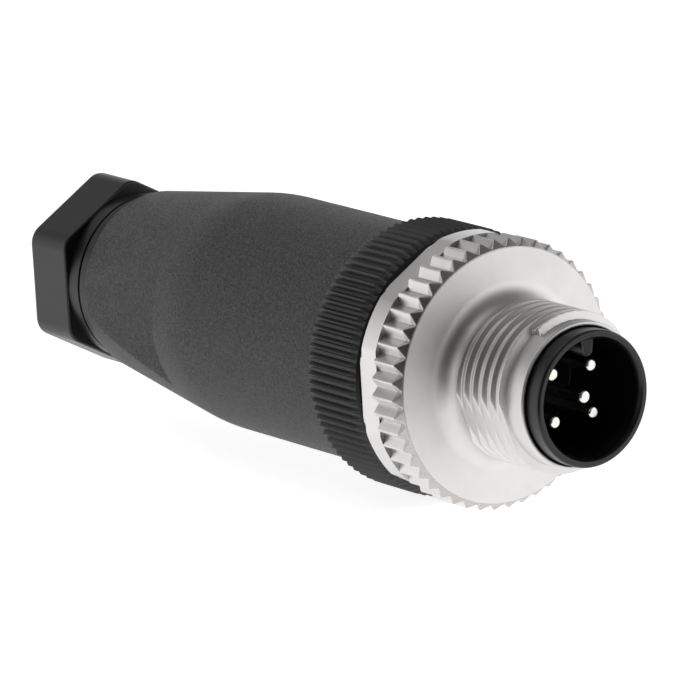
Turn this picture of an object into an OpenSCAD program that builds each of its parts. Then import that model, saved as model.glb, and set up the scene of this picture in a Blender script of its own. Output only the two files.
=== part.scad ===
// Straight M12 cable plug with five contacts, screw terminals and a cable gland.
// The connector axis is X, the mating face looks along +X and the coding key is at the top.
// The origin is on the axis at the front end of the coupling thread.

/* [Coupling ring] */
// Outside diameter of the coupling thread
thread_d = 12; // [11.4:0.1:13]
// Length of the coupling thread
thread_len = 5.2; // [4:0.1:8]
// Distance across the two moulding flats along the thread
thread_flats = 11.24; // [11.1:0.02:12]
// Turn of the moulding flats about the axis, in degrees
thread_flats_turn = 17; // [0:1:45]
// Diameter of the plain pilot in front of the thread
pilot_d = 10.8; // [10.6:0.1:11.2]
// Length of the plain pilot
pilot_len = 1.6; // [1:0.1:3]
// Radius of the fillet between the barrel and the flange
root_fillet = 1.5; // [0.8:0.1:2]
// Dish of the flange face, from the fillet out to its rim
flange_dish = 0.21; // [0.1:0.01:0.5]
// Outside diameter over the grip teeth and over the collar's ridges
grip_d = 20; // [19.6:0.1:22]
// How far the flange face stops short of the tooth crests
flange_inset = 0.58; // [0.57:0.01:0.9]
// Depth of the grip teeth
teeth_depth = 0.54; // [0.3:0.02:0.56]
// Number of grip teeth
teeth_count = 48; // [36:2:60]
// Length of the toothed band, with its front chamfer
teeth_len = 2.95; // [2:0.1:5]
// Length of the chamfer in front of the teeth
teeth_chamfer = 0.55; // [0.3:0.05:0.9]
// Distance across the flats of the spanner band
band_flats = 18.9; // [18.6:0.1:19.6]
// How far the turned corners of the spanner band stay below the tooth crests
band_corner_drop = 0.03; // [0:0.01:0.12]
// Length of the spanner band
band_len = 1.9; // [1.6:0.1:4]
// Bore of the lip by which the collar holds the ring
lip_bore = 14; // [13.6:0.1:14.4]
// Length of that lip
ring_lip_len = 1.4; // [1:0.1:1.5]
// Thickness of the web between the flange and the ring's inner pocket
web_t = 0.7; // [0.6:0.1:1.2]
// Step of that lip, measured on the radius
ring_lip_step = 0.6; // [0.4:0.05:0.8]

/* [Contact carrier] */
// Outside diameter of the mating rim
rim_d = 10; // [9.6:0.05:10.1]
// Inside diameter of the mating rim
rim_bore = 8.6; // [8.2:0.1:8.8]
// How far the rim stands in front of the coupling ring
rim_proud = 1.4; // [0.8:0.1:2]
// Depth of the pin cavity
cavity_depth = 8; // [7:0.1:9]
// Width of the coding key
key_w = 0.9; // [0.6:0.05:1.2]
// Height of the coding key
key_h = 1.2; // [0.8:0.05:1.3]
// How far the key stops short of the rim
key_setback = 0.4; // [0.2:0.1:2]
// Diameter of the terminal block
block_d = 11.3; // [10.9:0.1:11.6]
// Length of the terminal block behind the collar's spigot
block_len = 5.5; // [5:0.1:8]
// Diameter of the centre contact's tower
tower_d = 3.4; // [3.2:0.1:4]
// Length of the centre contact's tower
tower_len = 5; // [4.5:0.1:6]

/* [Contacts] */
// Pitch circle of the four outer contacts
contact_circle = 5; // [4.8:0.1:5.2]
// Diameter of a mating pin
pin_d = 1; // [0.8:0.05:1.2]
// Depth of the outer pins' tips behind the rim
tip_setback = 2.2; // [1:0.1:3]
// Depth of the centre pin's tip behind the rim
centre_tip_setback = 0.9; // [0.5:0.1:3]
// Diameter of a contact's shank
shank_d = 1.8; // [1.5:0.1:2]
// Diameter of a terminal barrel
barrel_d = 2.6; // [2.4:0.1:2.8]
// Length of an outer terminal barrel
barrel_len = 7.5; // [7:0.1:9]
// Diameter of the wire hole in a barrel
wire_d = 1.3; // [1:0.1:1.5]
// Depth of the wire hole in a barrel
wire_depth = 4; // [3.6:0.1:4.4]

/* [Terminal screws] */
// Thread diameter of a terminal screw
screw_d = 1.7; // [1.4:0.1:1.8]
// Head diameter of a terminal screw
screw_head_d = 2.2; // [2:0.1:2.3]
// Head height of a terminal screw
screw_head_h = 0.9; // [0.6:0.1:1.1]
// Width of the driver slot
slot_w = 0.4; // [0.3:0.05:0.6]
// Depth of the driver slot
slot_depth = 0.45; // [0.3:0.05:0.55]
// Distance of a screw from the open end of its terminal
screw_inset = 2.6; // [2.3:0.1:3]

/* [Collar] */
// Depth of the grooves between the ridges
ridge_depth = 0.35; // [0.2:0.05:0.5]
// Number of ridges
ridge_count = 90; // [60:2:100]
// Length of the collar
collar_len = 5.8; // [5:0.1:9]
// Length of the collar's front chamfer
collar_front_chamfer = 0.9; // [0.4:0.1:1.2]
// Length of the collar's rear chamfer
collar_rear_chamfer = 0.5; // [0.3:0.1:1]
// Diameter of the spigot that the housing screws onto
spigot_d = 14.8; // [14.6:0.1:15.2]
// Length of the spigot
spigot_len = 5.6; // [5:0.1:7]
// Width of the slots that make the hook springy
hook_slot_w = 1; // [0.6:0.1:1.5]
// Cord diameter of the two sealing rings
seal_cord = 0.9; // [0.8:0.05:1]

/* [Housing] */
// Diameter of the straight part of the housing
housing_d = 18; // [17.8:0.1:18.4]
// Length of the straight part
housing_straight = 17.4; // [17:0.1:24]
// Length of the tapered part
housing_taper = 14.4; // [14:0.1:18]
// Diameter of the housing's rear end
housing_rear_d = 13.9; // [13.7:0.1:14.6]
// Distance across the two spanner flats
housing_flats = 13.8; // [13.6:0.1:15]
// Length of the spanner flats
flats_len = 11; // [8:0.1:12]
// Bore of the wiring chamber
chamber_d = 14.4; // [13.6:0.1:14.8]
// Length of the straight part of the wiring chamber
chamber_len = 12; // [11:0.1:12.5]
// Bore for the cable clamp
clamp_bore = 11.5; // [11.3:0.1:11.7]
// Length of the bore for the cable clamp
clamp_bore_len = 10; // [10:0.1:10.6]
// Thickness of the inner seat of the cable clamp
seat_len = 1.2; // [0.8:0.1:1.6]
// Bore of that seat
seat_bore = 9.8; // [9.6:0.1:10.2]

/* [Cable gland] */
// Bore of the cable seal
cable_d = 6.2; // [6:0.1:6.6]
// Wall of the cable seal
seal_wall = 1.55; // [1.2:0.05:1.6]
// Length of the cable seal
seal_len = 7.2; // [6:0.1:7.4]
// Length of the clamp cage
cage_len = 7.8; // [7.6:0.1:8]
// Number of slits in the clamp cage
slit_count = 8; // [6:1:10]
// Width of a slit
slit_w = 0.8; // [0.5:0.1:1]
// Length of a slit
slit_len = 5; // [3:0.1:6.5]
// Thickness of the pressure ring
pressure_ring_t = 1; // [0.6:0.1:1.1]
// Cable bore of the gland nut
gland_bore = 6.8; // [6.7:0.1:7.4]
// Diameter of the gland nut's thread
gland_thread_d = 10.9; // [10.6:0.1:11]
// Diameter of the gland nut's round boss
gland_boss_d = 12.9; // [12.4:0.1:13.1]
// Length of the gland nut's round boss
gland_boss_len = 2.5; // [1.5:0.1:4]
// Width of the fine groove round the boss
boss_groove_w = 0.2; // [0.1:0.05:0.4]
// Distance across the flats of the gland nut
gland_flats = 13.2; // [13.1:0.1:14]
// Corner radius of the gland nut
gland_corner = 1.5; // [1:0.1:2.5]
// Length of the gland nut's hexagon
gland_len = 4.7; // [4:0.1:8]
// Rear chamfer of the gland nut
gland_chamfer = 0.7; // [0.3:0.1:1]

/* [Clearances] */
// Radial clearance of a part that turns in another
running_gap = 0.08; // [0.05:0.01:0.1]
// Clearance between fixed parts
fixed_gap = 0.02; // [0.01:0.01:0.04]
// Gap between parts that are screwed together or rest close by
side_gap = 0.3; // [0.25:0.01:0.35]

/* [Hidden] */
$fn = 96;

black = "#26262a";
grey_black = "#3b3a3d";
nickel = "#c9c7c2";
bright = "#e2e0d8";
rubber = "#1b1b1d";
over = 1;                     // how far a cutting tool runs past the face it cuts
clear = 0.02;                 // how far a trimming shape stays outside what it leaves
fine = 48;                    // segments of small round parts
edge = 0.3;                   // broken edge of a large part
small_edge = 0.2;             // broken edge of a thin wall
pilot_edge = 0.15;            // broken edge of the pilot
tip_round = 0.35;             // rounding of a pin's tip
hook_edge = 0.4;              // lead-in of the hook
hook_slot_run = 0.6;          // how far the hook's slots run on into the boss behind it
screw_gap = 0.05;             // clearance of a terminal screw in its way
head_sink = 0.15;             // how far a screw head lies below the surface round it
centre_head_r = 2.9;          // radius at which the centre screw's head ends
centre_screw_boss = 1.5;      // radius of the boss round the centre screw
tower_shift = 0.4;            // how much nearer the open end the centre screw stands
pin_hold = 2.5;               // length of a pin that the carrier's floor holds
shoulder_len = 2;             // length of the carrier's shoulder behind the hook's front
carrier_groove_inset = 1.5;   // distance of the carrier's seal groove behind the shoulder
housing_groove_inset = 0.8;   // distance of the housing's seal groove behind the collar
band_root = 0.6;              // how deep the spanner band is rooted in the toothed band
band_corner = 0.4;            // corner radius of the spanner band
flats_run = 0.1;              // how far the thread's flats run on into the fillet
cage_gap = 0.05;              // clearance of the clamp cage, inside and outside
cage_lead = 1;                // length of the cage's rear taper
gland_mouth = 0.5;            // flare of the cable bore's mouth

// Stations along the axis, from the rim at the front to the gland nut at the back
x_rim = pilot_len + rim_proud;
x_floor = x_rim - cavity_depth;
x_thread_back = -thread_len;
x_flange = x_thread_back - root_fillet - flange_dish;
x_band = x_flange - teeth_len;
x_ring_back = x_band - band_len;
x_collar = x_ring_back - side_gap;
x_ridges = x_collar - collar_front_chamfer;
x_collar_back = x_collar - collar_len;
x_spigot = x_collar_back - spigot_len;
x_block = x_spigot - block_len;
x_tower = x_block - tower_len;
x_housing = x_collar_back - side_gap;
x_taper = x_housing - housing_straight;
x_housing_back = x_taper - housing_taper;
x_flats = x_housing_back + flats_len;
x_seat_back = x_housing_back + clamp_bore_len;
x_seat = x_seat_back + seat_len;
x_chamber = x_spigot - side_gap;
x_chamber_back = x_chamber - chamber_len;
x_cage_back = x_seat_back - fixed_gap - cage_len;
x_pressure = x_cage_back - side_gap;
x_gland = x_pressure - pressure_ring_t - side_gap;
x_boss = x_housing_back - side_gap;
x_hex = x_boss - gland_boss_len;
x_gland_back = x_hex - gland_len;

// The hook by which the collar holds the coupling ring
grip_r = grip_d / 2;
lip_r = lip_bore / 2;
ring_bore_r = rim_d / 2 + running_gap;
x_lip = x_ring_back + ring_lip_len;
x_hook = x_lip + side_gap;
x_pocket = x_flange - flange_dish - web_t;
hook_front = x_pocket - side_gap;
pocket_r = lip_r + ring_lip_step;

// The terminals and the seals
shank_start = x_floor - pin_hold;
barrel_start = x_block + barrel_len;
outer_screw_x = x_block + screw_inset;
centre_screw_x = x_tower + screw_inset - tower_shift;
screw_tip_r = wire_d / 2 + screw_gap;
carrier_shoulder = hook_front - shoulder_len;
groove_w = seal_cord + 0.2;
carrier_groove_x = carrier_shoulder - carrier_groove_inset;
housing_groove_x = x_collar_back - housing_groove_inset;
block_r = block_d / 2;
outer_head_r = block_r - head_sink;

// A turned solid from [x, radius] points
module turned(points, seg = $fn) {
    rotate([90, 0, 90])
        rotate_extrude($fn = seg)
            polygon([for (p = points) [p[1], p[0]]]);
}

// A plain cylinder along the axis between two stations
module rod(x_a, x_b, r, seg = $fn) {
    translate([min(x_a, x_b), 0, 0])
        rotate([90, 0, 90])
            cylinder(r = r, h = abs(x_b - x_a), $fn = seg);
}

// A prism along the axis whose outline has Y to the right and Z up
module bar(x_a, x_b) {
    translate([min(x_a, x_b), 0, 0])
        rotate([90, 0, 90])
            linear_extrude(height = abs(x_b - x_a))
                children();
}

// A radial rod at a given angle about the axis, between two radii
module radial_rod(x, angle, r_a, r_b, r, seg = fine) {
    translate([x, 0, 0])
        rotate([angle - 90, 0, 0])
            translate([0, 0, r_a])
                cylinder(r = r, h = r_b - r_a, $fn = seg);
}

// Outline of pointed teeth with narrow crests and equally narrow roots
function tooth_outline(count, r_crest, r_root, crest = 0.06) = [
    for (i = [0:count - 1], k = [0:3])
        let (
            pitch = 360 / count,
            a = (i + [-0.5 + crest, -crest, crest, 0.5 - crest][k]) * pitch,
            r = (k == 1 || k == 2) ? r_crest : r_root)
        [r * cos(a + 90), r * sin(a + 90)]];

// Outline of rounded ridges with narrow grooves between them
function ridge_outline(count, r_out, depth) = [
    for (i = [0:count - 1], k = [0:3])
        let (
            pitch = 360 / count,
            a = (i + [-0.42, -0.24, 0.24, 0.42][k]) * pitch,
            r = (k == 1 || k == 2) ? r_out : r_out - depth)
        [r * cos(a + 90), r * sin(a + 90)]];

// Hexagon outline with rounded corners and flats on its left and right
function hexagon_outline(flats, corner, steps = 6) = [
    for (k = [0:5], j = [0:steps])
        let (
            centre = (flats / 2 - corner) / cos(30),
            a = 30 + 60 * k,
            b = a - 30 + 60 * j / steps)
        [centre * cos(a) + corner * cos(b), centre * sin(a) + corner * sin(b)]];

// Quarter of a circle as [x, radius] points, for fillets and rounded edges
function arc(x_c, r_c, r, from, to, steps = 8) = [
    for (j = [0:steps])
        let (a = from + (to - from) * j / steps)
        [x_c + r * cos(a), r_c + r * sin(a)]];

function contact_angle(i) = i == 5 ? 0 : 135 - 90 * (i - 1);
function contact_radius(i) = i == 5 ? 0 : contact_circle / 2;

module at_contact(i) {
    a = contact_angle(i);
    r = contact_radius(i);
    translate([0, r * cos(a), r * sin(a)])
        children();
}

module contact_carrier() {
    color(black)
    difference() {
        union() {
            turned([
                [x_rim, 0], [x_rim, rim_d / 2 - small_edge], [x_rim - small_edge, rim_d / 2],
                [carrier_shoulder, rim_d / 2], [carrier_shoulder, block_r],
                [x_block, block_r], [x_block, 0]]);
            rod(x_block + over, x_tower, tower_d / 2);
            radial_rod(centre_screw_x, 90, 0, centre_head_r + head_sink, centre_screw_boss);
        }
        difference() {
            turned([
                [x_rim + over, 0], [x_rim + over, rim_bore / 2 + edge / 2],
                [x_rim, rim_bore / 2 + edge / 2], [x_rim - edge, rim_bore / 2],
                [x_floor, rim_bore / 2], [x_floor, 0]]);
            carrier_key();
        }
        for (i = [1:5])
            at_contact(i)
                contact_bore(i);
        for (i = [1:4])
            screw_bore(outer_screw_x, contact_angle(i), contact_circle / 2, outer_head_r);
        screw_bore(centre_screw_x, 90, 0, centre_head_r);
        seal_groove(carrier_groove_x, block_r);
    }
}

// The coding key, a rib with a rounded inner end at the top of the pin cavity
module carrier_key() {
    key_tip = rim_bore / 2 - key_h + key_w / 2;
    bar(x_floor - over, x_rim - key_setback) {
        translate([-key_w / 2, key_tip])
            square([key_w, rim_d]);
        translate([0, key_tip])
            circle(d = key_w, $fn = 32);
    }
}

// The groove for an O-ring, cut from a surface of radius r with its front wall at x
module seal_groove(x, r) {
    turned([
        [x, r + over], [x, r - seal_cord],
        [x - groove_w, r - seal_cord], [x - groove_w, r + over]]);
}

// Stations of one contact: the tip, the shank, the barrel and its open end
function tip_x(i) = x_rim - (i == 5 ? centre_tip_setback : tip_setback);
function barrel_front(i) = i == 5 ? x_block - side_gap : barrel_start;
function barrel_back(i) = i == 5 ? x_tower : x_block;

module contact_bore(i) {
    rod(x_floor + over, shank_start, pin_d / 2 + fixed_gap, fine);
    rod(shank_start, barrel_front(i), shank_d / 2 + fixed_gap, fine);
    rod(barrel_front(i), barrel_back(i) - over, barrel_d / 2 + fixed_gap, fine);
}

// The way of a terminal screw, from its contact out through the carrier
module screw_bore(x, angle, r_contact, r_head) {
    radial_rod(x, angle, r_contact, block_r + over, screw_d / 2 + screw_gap);
    radial_rod(x, angle, r_head - screw_head_h - screw_gap, block_r + over,
        screw_head_d / 2 + screw_gap);
}

// A turned contact with a rounded pin, a shank and a terminal barrel
module contact(i) {
    tip = tip_x(i);
    front = barrel_front(i);
    back = barrel_back(i);
    screw_x = i == 5 ? centre_screw_x : outer_screw_x;
    color(bright)
    at_contact(i)
    difference() {
        turned(concat(
            [[tip, 0]],
            arc(tip - tip_round, pin_d / 2 - tip_round, tip_round, 0, 90, 5),
            [[shank_start - fixed_gap, pin_d / 2], [shank_start - fixed_gap, shank_d / 2],
             [front - fixed_gap, shank_d / 2], [front - fixed_gap, barrel_d / 2],
             [back, barrel_d / 2], [back, 0]]), fine);
        rod(back - over, back + wire_depth, wire_d / 2, fine);
        radial_rod(screw_x, i == 5 ? 90 : contact_angle(i), 0, barrel_d,
            screw_d / 2 + screw_gap);
    }
}

module pin_1() { contact(1); }
module pin_2() { contact(2); }
module pin_3() { contact(3); }
module pin_4() { contact(4); }
module pin_5() { contact(5); }

// A cheese-head screw whose tip ends at the wire hole of its contact
module terminal_screw(i) {
    x = i == 5 ? centre_screw_x : outer_screw_x;
    head_r = i == 5 ? centre_head_r : outer_head_r;
    tip_r = contact_radius(i) + screw_tip_r;
    color(nickel)
    translate([x, 0, 0])
        rotate([(i == 5 ? 90 : contact_angle(i)) - 90, 0, 0])
            difference() {
                union() {
                    translate([0, 0, tip_r])
                        cylinder(d = screw_d, h = head_r - tip_r, $fn = fine);
                    translate([0, 0, head_r - screw_head_h])
                        cylinder(d = screw_head_d, h = screw_head_h, $fn = fine);
                }
                translate([-slot_w / 2, -screw_head_d, head_r - slot_depth])
                    cube([slot_w, 2 * screw_head_d, slot_depth + over]);
            }
}

module terminal_screw_1() { terminal_screw(1); }
module terminal_screw_2() { terminal_screw(2); }
module terminal_screw_3() { terminal_screw(3); }
module terminal_screw_4() { terminal_screw(4); }
module terminal_screw_5() { terminal_screw(5); }

// Die-cast nickel-plated ring with the coupling thread, grip teeth and spanner band
module coupling_ring() {
    barrel_r = thread_d / 2 - edge;
    corner_r = grip_r - band_corner_drop;
    color(nickel)
    difference() {
        union() {
            intersection() {
                bar(x_band, pilot_len + over)
                    polygon(tooth_outline(teeth_count, grip_r, grip_r - teeth_depth));
                turned(concat(
                    [[pilot_len, 0], [pilot_len, pilot_d / 2 - pilot_edge],
                     [pilot_len - pilot_edge, pilot_d / 2], [edge, pilot_d / 2],
                     [0, thread_d / 2],
                     [x_thread_back, thread_d / 2]],
                    arc(x_thread_back, barrel_r + root_fillet, root_fillet, 270, 180),
                    [[x_flange, grip_r - flange_inset], [x_flange - teeth_chamfer, grip_r + clear],
                     [x_band, grip_r + clear], [x_band, 0]]));
            }
            intersection() {
                bar(x_ring_back, x_band + band_root)
                    polygon(hexagon_outline(band_flats, band_corner, 2));
                turned([
                    [x_band + band_root, 0], [x_band, corner_r], [x_ring_back + edge, corner_r],
                    [x_ring_back, corner_r - edge], [x_ring_back, 0]]);
            }
        }
        rod(pilot_len + over, x_pocket, ring_bore_r);
        rod(x_pocket, x_lip, pocket_r);
        rod(x_lip, x_ring_back - over, lip_r);
        for (side = [0, 180])
            rotate([side + thread_flats_turn, 0, 0])
                translate([x_thread_back - flats_run, thread_flats / 2, -thread_d / 2])
                    cube([thread_len + flats_run + over, thread_d, thread_d]);
    }
}

// Knurled collar that carries the contacts, hooks into the ring and takes the housing
module collar() {
    ridge_root = grip_r - ridge_depth;
    hook_r = pocket_r - running_gap;
    boss_r = lip_r - running_gap;
    spigot_r = spigot_d / 2;
    slot_back = x_hook - hook_slot_run;
    color(black)
    difference() {
        union() {
            intersection() {
                bar(x_collar_back, x_collar)
                    polygon(ridge_outline(ridge_count, grip_r, ridge_depth));
                turned([
                    [x_collar, 0], [x_collar, ridge_root - edge], [x_ridges, grip_r + clear],
                    [x_collar_back + collar_rear_chamfer, grip_r + clear],
                    [x_collar_back, ridge_root - small_edge], [x_collar_back, 0]]);
            }
            turned([
                [hook_front, 0], [hook_front, hook_r - hook_edge], [hook_front - hook_edge, hook_r],
                [x_hook, hook_r], [x_hook, boss_r], [x_collar - over, boss_r],
                [x_collar - over, 0]]);
            turned([
                [x_collar_back + over, 0], [x_collar_back + over, spigot_r],
                [x_spigot + edge, spigot_r], [x_spigot, spigot_r - edge], [x_spigot, 0]]);
        }
        rod(hook_front + over, carrier_shoulder, rim_d / 2 + fixed_gap);
        rod(carrier_shoulder + fixed_gap, x_spigot - over, block_r + fixed_gap);
        seal_groove(housing_groove_x, spigot_r);
        for (turn = [45, 135])
            rotate([turn, 0, 0])
                translate([slot_back, -hook_slot_w / 2, -housing_d])
                    cube([hook_front - slot_back + over, hook_slot_w, 2 * housing_d]);
    }
}

// A rubber O-ring that fills the groove in a surface of radius r
module o_ring(x, r) {
    color(rubber)
    translate([x - groove_w / 2, 0, 0])
        rotate([90, 0, 90])
            rotate_extrude()
                translate([r - seal_cord / 2, 0])
                    circle(d = seal_cord - 2 * fixed_gap, $fn = 24);
}

module carrier_seal() { o_ring(carrier_groove_x, block_r); }
module housing_seal() { o_ring(housing_groove_x, spigot_d / 2); }

// Grip housing, straight and then tapered, with two spanner flats at its rear
module housing() {
    outer_r = housing_d / 2;
    rear_r = housing_rear_d / 2;
    chamber_r = chamber_d / 2;
    clamp_r = clamp_bore / 2;
    socket_r = spigot_d / 2 + side_gap;
    color(grey_black)
    difference() {
        turned(concat(
            [[x_housing, 0], [x_housing, outer_r - small_edge],
             [x_housing - small_edge, outer_r], [x_taper, outer_r],
             [x_housing_back + edge, rear_r], [x_housing_back, rear_r - edge],
             [x_housing_back, 0]]));
        rod(x_housing + over, x_chamber, socket_r);
        turned([
            [x_chamber + over, 0], [x_chamber + over, chamber_r], [x_chamber_back, chamber_r],
            [x_seat, seat_bore / 2], [x_seat, 0]]);
        rod(x_seat + over, x_seat_back - over, seat_bore / 2);
        rod(x_seat_back, x_housing_back - over, clamp_r);
        for (side = [-1, 1])
            translate([x_housing_back - over, side * housing_flats / 2 - (side < 0 ? housing_d : 0),
                -housing_d])
                cube([flats_len + over, housing_d, 2 * housing_d]);
    }
}

// Slitted plastic cage that closes round the cable seal
module clamp_cage() {
    outer_r = clamp_bore / 2 - cage_gap;
    inner_r = cable_d / 2 + seal_wall + cage_gap;
    x_front = x_seat_back - fixed_gap;
    color(grey_black)
    difference() {
        turned([
            [x_front, inner_r], [x_front, outer_r], [x_cage_back + cage_lead, outer_r],
            [x_cage_back, inner_r + edge], [x_cage_back, inner_r]]);
        for (i = [0:slit_count - 1])
            rotate([360 * i / slit_count, 0, 0])
                translate([x_cage_back - over, 0, -slit_w / 2])
                    cube([slit_len + over, housing_d, slit_w]);
    }
}

// Rubber sleeve that the cage squeezes onto the cable
module cable_seal() {
    x_front = x_seat_back - side_gap;
    x_back = x_front - seal_len;
    r_in = cable_d / 2;
    r_out = r_in + seal_wall;
    r_edge = r_in + small_edge;
    color(rubber)
        turned([
            [x_front, r_edge], [x_front, r_out], [x_back, r_out], [x_back, r_edge],
            [x_back + small_edge, r_in], [x_front - small_edge, r_in]]);
}

module pressure_ring() {
    x_back = x_pressure - pressure_ring_t;
    color(black)
    difference() {
        rod(x_pressure, x_back, gland_thread_d / 2);
        rod(x_pressure + over, x_back - over, gland_bore / 2);
    }
}

// Pressing screw of the gland, with a hexagon, a round boss and a threaded spigot
module gland_nut() {
    boss_r = gland_boss_d / 2;
    corner_r = (gland_flats / 2 - gland_corner) / cos(30) + gland_corner;
    x_groove = x_hex + gland_boss_len / 2;
    mouth_r = gland_bore / 2 + gland_mouth;
    color(black)
    difference() {
        union() {
            turned([
                [x_gland, 0], [x_gland, gland_thread_d / 2 - edge],
                [x_gland - edge, gland_thread_d / 2], [x_boss, gland_thread_d / 2],
                [x_boss, boss_r], [x_groove + boss_groove_w, boss_r],
                [x_groove + boss_groove_w, boss_r - boss_groove_w],
                [x_groove, boss_r - boss_groove_w], [x_groove, boss_r],
                [x_hex - over, boss_r], [x_hex - over, 0]]);
            intersection() {
                bar(x_gland_back, x_hex)
                    polygon(hexagon_outline(gland_flats, gland_corner));
                turned([
                    [x_hex, 0], [x_hex, corner_r + clear],
                    [x_gland_back + gland_chamfer, corner_r + clear],
                    [x_gland_back, corner_r - 1.2 * gland_chamfer], [x_gland_back, 0]]);
            }
        }
        rod(x_gland + over, x_gland_back - over, gland_bore / 2);
        turned([
            [x_gland_back - over, 0], [x_gland_back - over, mouth_r + over],
            [x_gland_back, mouth_r], [x_gland_back + gland_mouth, gland_bore / 2],
            [x_gland_back + gland_mouth, 0]]);
    }
}

contact_carrier();
pin_1();
pin_2();
pin_3();
pin_4();
pin_5();
terminal_screw_1();
terminal_screw_2();
terminal_screw_3();
terminal_screw_4();
terminal_screw_5();
coupling_ring();
collar();
carrier_seal();
housing_seal();
housing();
clamp_cage();
cable_seal();
pressure_ring();
gland_nut();
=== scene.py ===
import math

import bmesh
import bpy
import numpy as np
from mathutils import Matrix, Vector


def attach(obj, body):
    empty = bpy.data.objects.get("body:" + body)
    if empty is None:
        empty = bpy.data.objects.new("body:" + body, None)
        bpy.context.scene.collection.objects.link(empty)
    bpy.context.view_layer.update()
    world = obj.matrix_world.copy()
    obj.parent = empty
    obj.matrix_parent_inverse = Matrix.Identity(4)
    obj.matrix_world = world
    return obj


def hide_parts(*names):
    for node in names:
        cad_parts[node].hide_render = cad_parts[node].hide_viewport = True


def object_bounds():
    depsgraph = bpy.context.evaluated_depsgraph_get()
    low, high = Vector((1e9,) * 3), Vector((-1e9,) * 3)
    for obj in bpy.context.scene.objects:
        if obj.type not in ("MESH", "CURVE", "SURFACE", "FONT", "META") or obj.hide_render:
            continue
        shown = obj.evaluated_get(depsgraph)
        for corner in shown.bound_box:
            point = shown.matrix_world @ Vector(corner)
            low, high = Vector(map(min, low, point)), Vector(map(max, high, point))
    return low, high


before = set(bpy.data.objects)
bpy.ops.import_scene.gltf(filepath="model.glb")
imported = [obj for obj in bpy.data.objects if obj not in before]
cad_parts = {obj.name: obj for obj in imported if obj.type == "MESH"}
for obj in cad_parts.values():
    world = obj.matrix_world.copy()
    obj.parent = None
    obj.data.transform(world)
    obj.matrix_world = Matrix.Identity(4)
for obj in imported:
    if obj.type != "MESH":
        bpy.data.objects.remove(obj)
cad_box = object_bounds()
scene = bpy.context.scene
scene.view_settings.view_transform = "Standard"
mm = 0.001


# Camera: a long lens from the front right of the plug, a little above its axis.
aim, distance, focal_length = Vector((-26.816, -0.074, -0.745)) * mm, 535.5 * mm, 382.18
azimuth, elevation, roll = (math.radians(a) for a in (53.73, 14.44, -3.39))
back = Vector((math.sin(azimuth) * math.cos(elevation),
               -math.cos(azimuth) * math.cos(elevation), math.sin(elevation)))
level = Vector((math.cos(azimuth), math.sin(azimuth), 0))
right = math.cos(roll) * level + math.sin(roll) * back.cross(level)
up = back.cross(right)
camera_data = bpy.data.cameras.new("camera")
camera_data.lens = focal_length
camera_data.sensor_width = 36
camera_data.clip_start = 0.01
camera = bpy.data.objects.new("camera", camera_data)
turn = Matrix((right, up, back)).transposed().to_4x4()
camera.matrix_world = Matrix.Translation(aim + distance * back) @ turn
scene.collection.objects.link(camera)
scene.camera = camera


# Floor and world: a pale table that keeps the plug's shadow, in a room that is white to
# the camera. Shiny parts mirror a dim front and ceiling, which brings out their forms.
def new_material(name):
    made = bpy.data.materials.new(name)
    made.use_nodes = True
    made.node_tree.nodes.clear()
    return made, made.node_tree


def end_material(tree, shader):
    surface = tree.nodes.new("ShaderNodeOutputMaterial")
    tree.links.new(shader.outputs[0], surface.inputs["Surface"])


def put(tree, value, socket):
    """Gives a socket a plain value, or joins another node's output to it."""
    if isinstance(value, bpy.types.NodeSocket):
        tree.links.new(value, socket)
    else:
        socket.default_value = value


def maths(tree, operation, *values):
    node = tree.nodes.new("ShaderNodeMath")
    node.operation = operation
    for value, socket in zip(values, node.inputs):
        put(tree, value, socket)
    return node.outputs[0]


def ramp(tree, value, low, high, start=0.0, end=1.0, shape="LINEAR"):
    """Runs from start to end while the value runs from low to high."""
    node = tree.nodes.new("ShaderNodeMapRange")
    node.interpolation_type = shape
    for label, limit in (("Value", value), ("From Min", low), ("From Max", high),
                         ("To Min", start), ("To Max", end)):
        put(tree, limit, node.inputs[label])
    return node.outputs["Result"]


def mixed(tree, factor, first, second):
    """A colour between two others."""
    node = tree.nodes.new("ShaderNodeMix")
    node.data_type = "RGBA"
    for label, value in (("Factor", factor), ("A", first), ("B", second)):
        put(tree, value, node.inputs[label])
    return node.outputs["Result"]


def share_towards(tree, vector, direction):
    node = tree.nodes.new("ShaderNodeVectorMath")
    node.operation = "DOT_PRODUCT"
    node.inputs[1].default_value = direction
    tree.links.new(vector, node.inputs[0])
    return node.outputs["Value"]


floor_colour, dim_colour, floor_glow = (0.80, 0.80, 0.79, 1), (0.03, 0.03, 0.03, 1), 0.85
floor_x, floor_y = (-0.40, 0.10), (-0.11, 0.40)
low = cad_box[0][2]
floor_mesh = bpy.data.meshes.new("floor")
floor_mesh.from_pydata([(floor_x[0], floor_y[0], low), (floor_x[1], floor_y[0], low),
                        (floor_x[1], floor_y[1], low), (floor_x[0], floor_y[1], low)],
                       [], [(0, 1, 2, 3)])
floor = bpy.data.objects.new("floor", floor_mesh)
scene.collection.objects.link(floor)
table_top, tree = new_material("table_top")
ray = tree.nodes.new("ShaderNodeLightPath")
place = tree.nodes.new("ShaderNodeTexCoord")
forward = share_towards(tree, place.outputs["Object"], (0.78, -0.59, 0))
in_front = ramp(tree, forward, 0.018, 0.042, shape="SMOOTHSTEP")
mirrored = maths(tree, "MULTIPLY", in_front, ray.outputs["Is Glossy Ray"])
paint = tree.nodes.new("ShaderNodeBsdfDiffuse")
tree.links.new(mixed(tree, mirrored, floor_colour, dim_colour), paint.inputs["Color"])
seen = maths(tree, "MAXIMUM", ray.outputs["Is Camera Ray"], ray.outputs["Is Glossy Ray"])
glow = tree.nodes.new("ShaderNodeEmission")
tree.links.new(maths(tree, "MULTIPLY", maths(tree, "SUBTRACT", seen, mirrored), floor_glow),
               glow.inputs["Strength"])
both = tree.nodes.new("ShaderNodeAddShader")
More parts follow.
